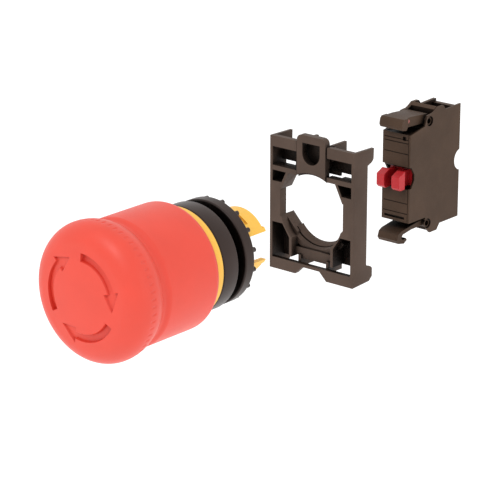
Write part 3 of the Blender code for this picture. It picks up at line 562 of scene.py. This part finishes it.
def make_barrel():
    """The red barrel: a slim neck up to the cap's rear edge, a soft shoulder and a rounded rear edge."""
    low, high = corners("cap_skirt")
    outer, front, rear = high.x, low.y, high.y
    bore, web_bore, web_front, web_rear = 15.6, 10.6, front + 0.6, front + 2.2
    neck, neck_length, shoulder, steps = outer - 0.75, 0.7, 1.9, 10
    lip = corners("mushroom_cap")[1].y + CONTACT_GAP
    profile = [(web_bore, web_front), (14.6, web_front), (14.6, lip + 0.1), (14.7, lip), (neck, lip)]
    for step in range(steps + 1):
        rise = step / steps
        radius = neck + (outer - neck) * float(smooth_step(rise))
        profile.append((radius, front + neck_length + shoulder * rise))
    rear_round = 2.6
    profile += arc((outer - rear_round, rear - rear_round), rear_round, 0, 70, 14)
    profile += [(bore + 0.15, rear - 0.05), (bore, rear - 0.2), (bore, web_rear), (web_bore, web_rear)]
    return stands_for(lathe("red_barrel", profile), "cap_skirt")


# The panel side of the head


def make_yellow():
    """The yellow ring and cup, and the sleeve behind the panel with its side notches and lock groove."""
    low, high = corners("yellow_housing")
    outer, front, tip = high.x, low.y, high.y
    cup, cup_bore, sleeve, bore = 13.0, 11.9, 9.3, 7.7
    shoulder, cup_rear, floor = front + 4.0, front + 8.0, front + 6.6
    profile = [(cup_bore, front)] + arc((outer - 0.5, front + 0.5), 0.5, -90, 0, 4)
    profile += [(outer, shoulder - 0.1), (outer - 0.1, shoulder), (cup, shoulder), (cup, cup_rear)]
    profile += [(sleeve, cup_rear), (sleeve, tip), (bore, tip), (bore, floor), (cup_bore, floor)]
    body = lathe("yellow_body", profile)
    over, rim = sleeve + 2, tip - 0.9
    notch = sleeve * math.sin(math.radians(25.0))
    tip_half = sleeve * math.sin(math.radians(33.0))
    notch_front, beyond = 10.2, tip + 1
    cutters = [box("notch", (-over, over), (notch_front, beyond), (-notch, notch))]
    cutters.append(box("rim_top", (-over, over), (rim, beyond), (tip_half, over)))
    cutters.append(box("rim_low", (-over, over), (rim, beyond), (-over, -tip_half)))
    groove_floor, groove_front, groove_rear = 8.8, 11.6, 13.5
    groove = [(groove_floor, groove_front), (over, groove_front)]
    groove += [(over, groove_rear), (groove_floor, groove_rear)]
    groove_end = groove_floor * math.sin(math.radians(50.0))
    keep = box("groove_keep", (-over, over), (groove_front - 0.6, groove_rear + 0.5), (-over, groove_end))
    cutters.append(cut(lathe("groove", groove, 64), keep))
    return stands_for(soften(cut(body, *cutters), 0.15), "yellow_housing")


def make_bezel():
    """The black bezel, rounded in front, with the seal's seat behind it and the threaded collar."""
    low, high = corners("bezel_collar")
    outer, front, end = high.x, low.y, high.y
    recess, floor, rear = 13.3, front + 4.0, front + 6.0
    collar, bore = 10.9, 9.6
    seat_inner, seat_outer, seat_depth = 11.6, 14.0, 1.1
    profile = [(recess, front + 0.1), (recess + 0.1, front)]
    profile += arc((outer - 0.7, front + 0.7), 0.7, -90, 0, 6)
    profile += arc((outer - 0.4, rear - 0.4), 0.4, 0, 90, 4)
    profile += [(seat_outer, rear), (seat_outer, rear - seat_depth)]
    profile += [(seat_inner, rear - seat_depth), (seat_inner, rear), (collar, rear)]
    pitch, thread_depth, thread_start = 1.0, 0.28, 1.3
    turns = int((end - 0.5 - thread_start) / pitch)
    for turn in range(turns):
        crest = thread_start + turn * pitch
        profile += [(collar - thread_depth, crest + 0.1), (collar, crest + 0.42)]
        profile += [(collar, crest + 0.58), (collar - thread_depth, crest + 0.9)]
    profile += [(collar - 0.4, end - 0.4), (collar - 0.7, end), (bore, end), (bore, floor), (recess, floor)]
    body = lathe("black_bezel", profile)
    key = box("key", (-1.5, 1.5), (0.1, 0.9), (collar - 0.8, 12.0))
    return stands_for(join(body, key), "bezel_collar")


def make_nut():
    """The ring nut, with round knobs along its rear rim."""
    low, high = corners("ring_nut")
    front, rear = low.y, high.y - 0.8
    radius, bore, bevel, front_round, rear_round = 14.7, 11.2, 0.3, 0.5, 0.7
    profile = [(bore, front + bevel), (bore + bevel, front)]
    profile += arc((radius - front_round, front + front_round), front_round, -90, 0, 5)
    profile += arc((radius - rear_round, rear - rear_round), rear_round, 0, 90, 6)
    profile += [(bore + bevel, rear), (bore, rear - bevel)]
    nut = lathe("black_nut", profile)
    knobs = []
    for index in range(NUT_KNOBS):
        centre = polar(NUT_KNOB_REACH - NUT_KNOB_RADIUS, 360 / NUT_KNOBS * (index + 0.5))
        knobs.append(rod(f"knob_{index}", "Y", centre, NUT_KNOB_RADIUS, rear - 1.7, high.y, 20))
    return stands_for(soften(join(nut, *knobs), 0.15, 2, 50.0), "ring_nut")


# The adapter


def make_adapter():
    """The adapter frame, with the step that runs round its curved seat."""
    low, _ = corners("adapter_frame")
    step_front, step_rear = low.y + 3.6, low.y + 4.0
    inner, outer, seat_top = 10.0, 11.3, -6.4
    outline = [(inner, step_front), (outer, step_front), (outer, step_rear), (inner, step_rear)]
    over = outer + 1
    keep = box("step_keep", (-over, over), (step_front - 1, step_rear + 1), (seat_top, over))
    step = cut(lathe("seat_step", outline, 96), keep)
    adapter = cut(copy_of("adapter_frame", "adapter_moulding"), step)
    return stands_for(soften(adapter, EDGE_ROUND), "adapter_frame")


# The contact block


def make_clip_mark():
    """The dab of red paint on the side of the upper latch arm."""
    low, high = corners("top_clip")
    side, centre, radius = 3.6, (low.y + 3.7, high.z - 1.1), 0.55
    dab = rod("clip_mark", "X", centre, radius, side - 0.05, side + 0.06, 24)
    soften(dab, 0.04)
    made, tree, shader = tree_of("faded_red_paint")
    tint = add_colours(tree, add_noise(tree, 0.6), (0.42, 0.10, 0.09), (0.30, 0.09, 0.07))
    tree.links.new(tint, shader.inputs["Base Color"])
    shader.inputs["Roughness"].default_value = 0.6
    dab.data.materials.append(made)
    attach(dab, bodies["top_clip"])


# The stage


def make_camera():
    """The camera, turned to the right of the button's front and looking down on it."""
    turn, drop = math.radians(CAMERA_TURN), math.radians(CAMERA_DROP)
    right = Vector((math.cos(turn), math.sin(turn), 0.0))
    forward = Vector((-math.sin(turn) * math.cos(drop), math.cos(turn) * math.cos(drop), -math.sin(drop)))
    up = right.cross(forward)
    data = bpy.data.cameras.new("camera")
    data.lens = CAMERA_LENS
    data.clip_start = 10.0 * MM
    camera = new_object("camera", data)
    facing = Matrix((right, up, -forward)).transposed().to_4x4()
    camera.matrix_world = Matrix.Translation(CAMERA_PLACE) @ facing
    bpy.context.scene.camera = camera


def make_light(name, target, offset, size, power):
    """A round area light that looks at a target in metres from an offset in millimetres."""
    data = bpy.data.lights.new(name, "AREA")
    data.shape = "DISK"
    data.size = size * MM
    data.energy = power
    light = new_object(name, data)
    light.location = target + Vector(offset) * MM
    light.rotation_euler = (target - light.location).to_track_quat("-Z", "Y").to_euler()


def make_floor():
    """The pale floor, which glows a little so that it comes out as white as its surroundings."""
    mesh = bpy.data.meshes.new("floor")
    height = cad_bounds[0].z - FLOOR_DROP * MM
    reach = FLOOR_REACH * MM
    around = [(-reach, -reach), (reach, -reach), (reach, reach), (-reach, reach)]
    mesh.from_pydata([(x, y, height) for x, y in around], [], [(0, 1, 2, 3)])
    floor = new_object("floor", mesh)
    made, _, shader = tree_of("pale_floor")
    shader.inputs["Base Color"].default_value = (0.95, 0.95, 0.95, 1.0)
    shader.inputs["Roughness"].default_value = 0.9
    shader.inputs["Emission Color"].default_value = (1.0, 1.0, 1.0, 1.0)
    shader.inputs["Emission Strength"].default_value = FLOOR_GLOW
    mesh.materials.append(made)


def make_stage():
    """A white studio: the floor, the sky and two soft lights."""
    make_floor()
    world = bpy.data.worlds.new("studio")
    world.use_nodes = True
    world.node_tree.nodes["Background"].inputs["Color"].default_value = (1.0, 1.0, 1.0, 1.0)
    world.node_tree.nodes["Background"].inputs["Strength"].default_value = 1.0
    bpy.context.scene.world = world
    middle = (cad_bounds[0] + cad_bounds[1]) / 2
    make_light("key", middle, **KEY_LIGHT)
    make_light("side", middle, **SIDE_LIGHT)
    bpy.context.scene.view_settings.view_transform = "Standard"


def dress_the_rest(replaced):
    """Gives the CAD nodes that stay their materials."""
    for node, obj in frame["nodes"].items():
        if node not in replaced:
            obj.data.materials.clear()
            obj.data.materials.append(look_of(node))


def main():
    make_cap()
    make_barrel()
    make_yellow()
    make_bezel()
    make_nut()
    make_adapter()
    rebuilt = ["mushroom_cap", "cap_skirt", "yellow_housing", "bezel_collar", "ring_nut", "adapter_frame"]
    rounded = ["locking_slide", "block_housing", "block_cover", "top_clip", "bottom_clip", "contact_plunger"]
    for node in rounded:
        rounded_copy(node)
    make_clip_mark()
    dress_the_rest(rebuilt + rounded)
    make_camera()
    make_stage()


main()
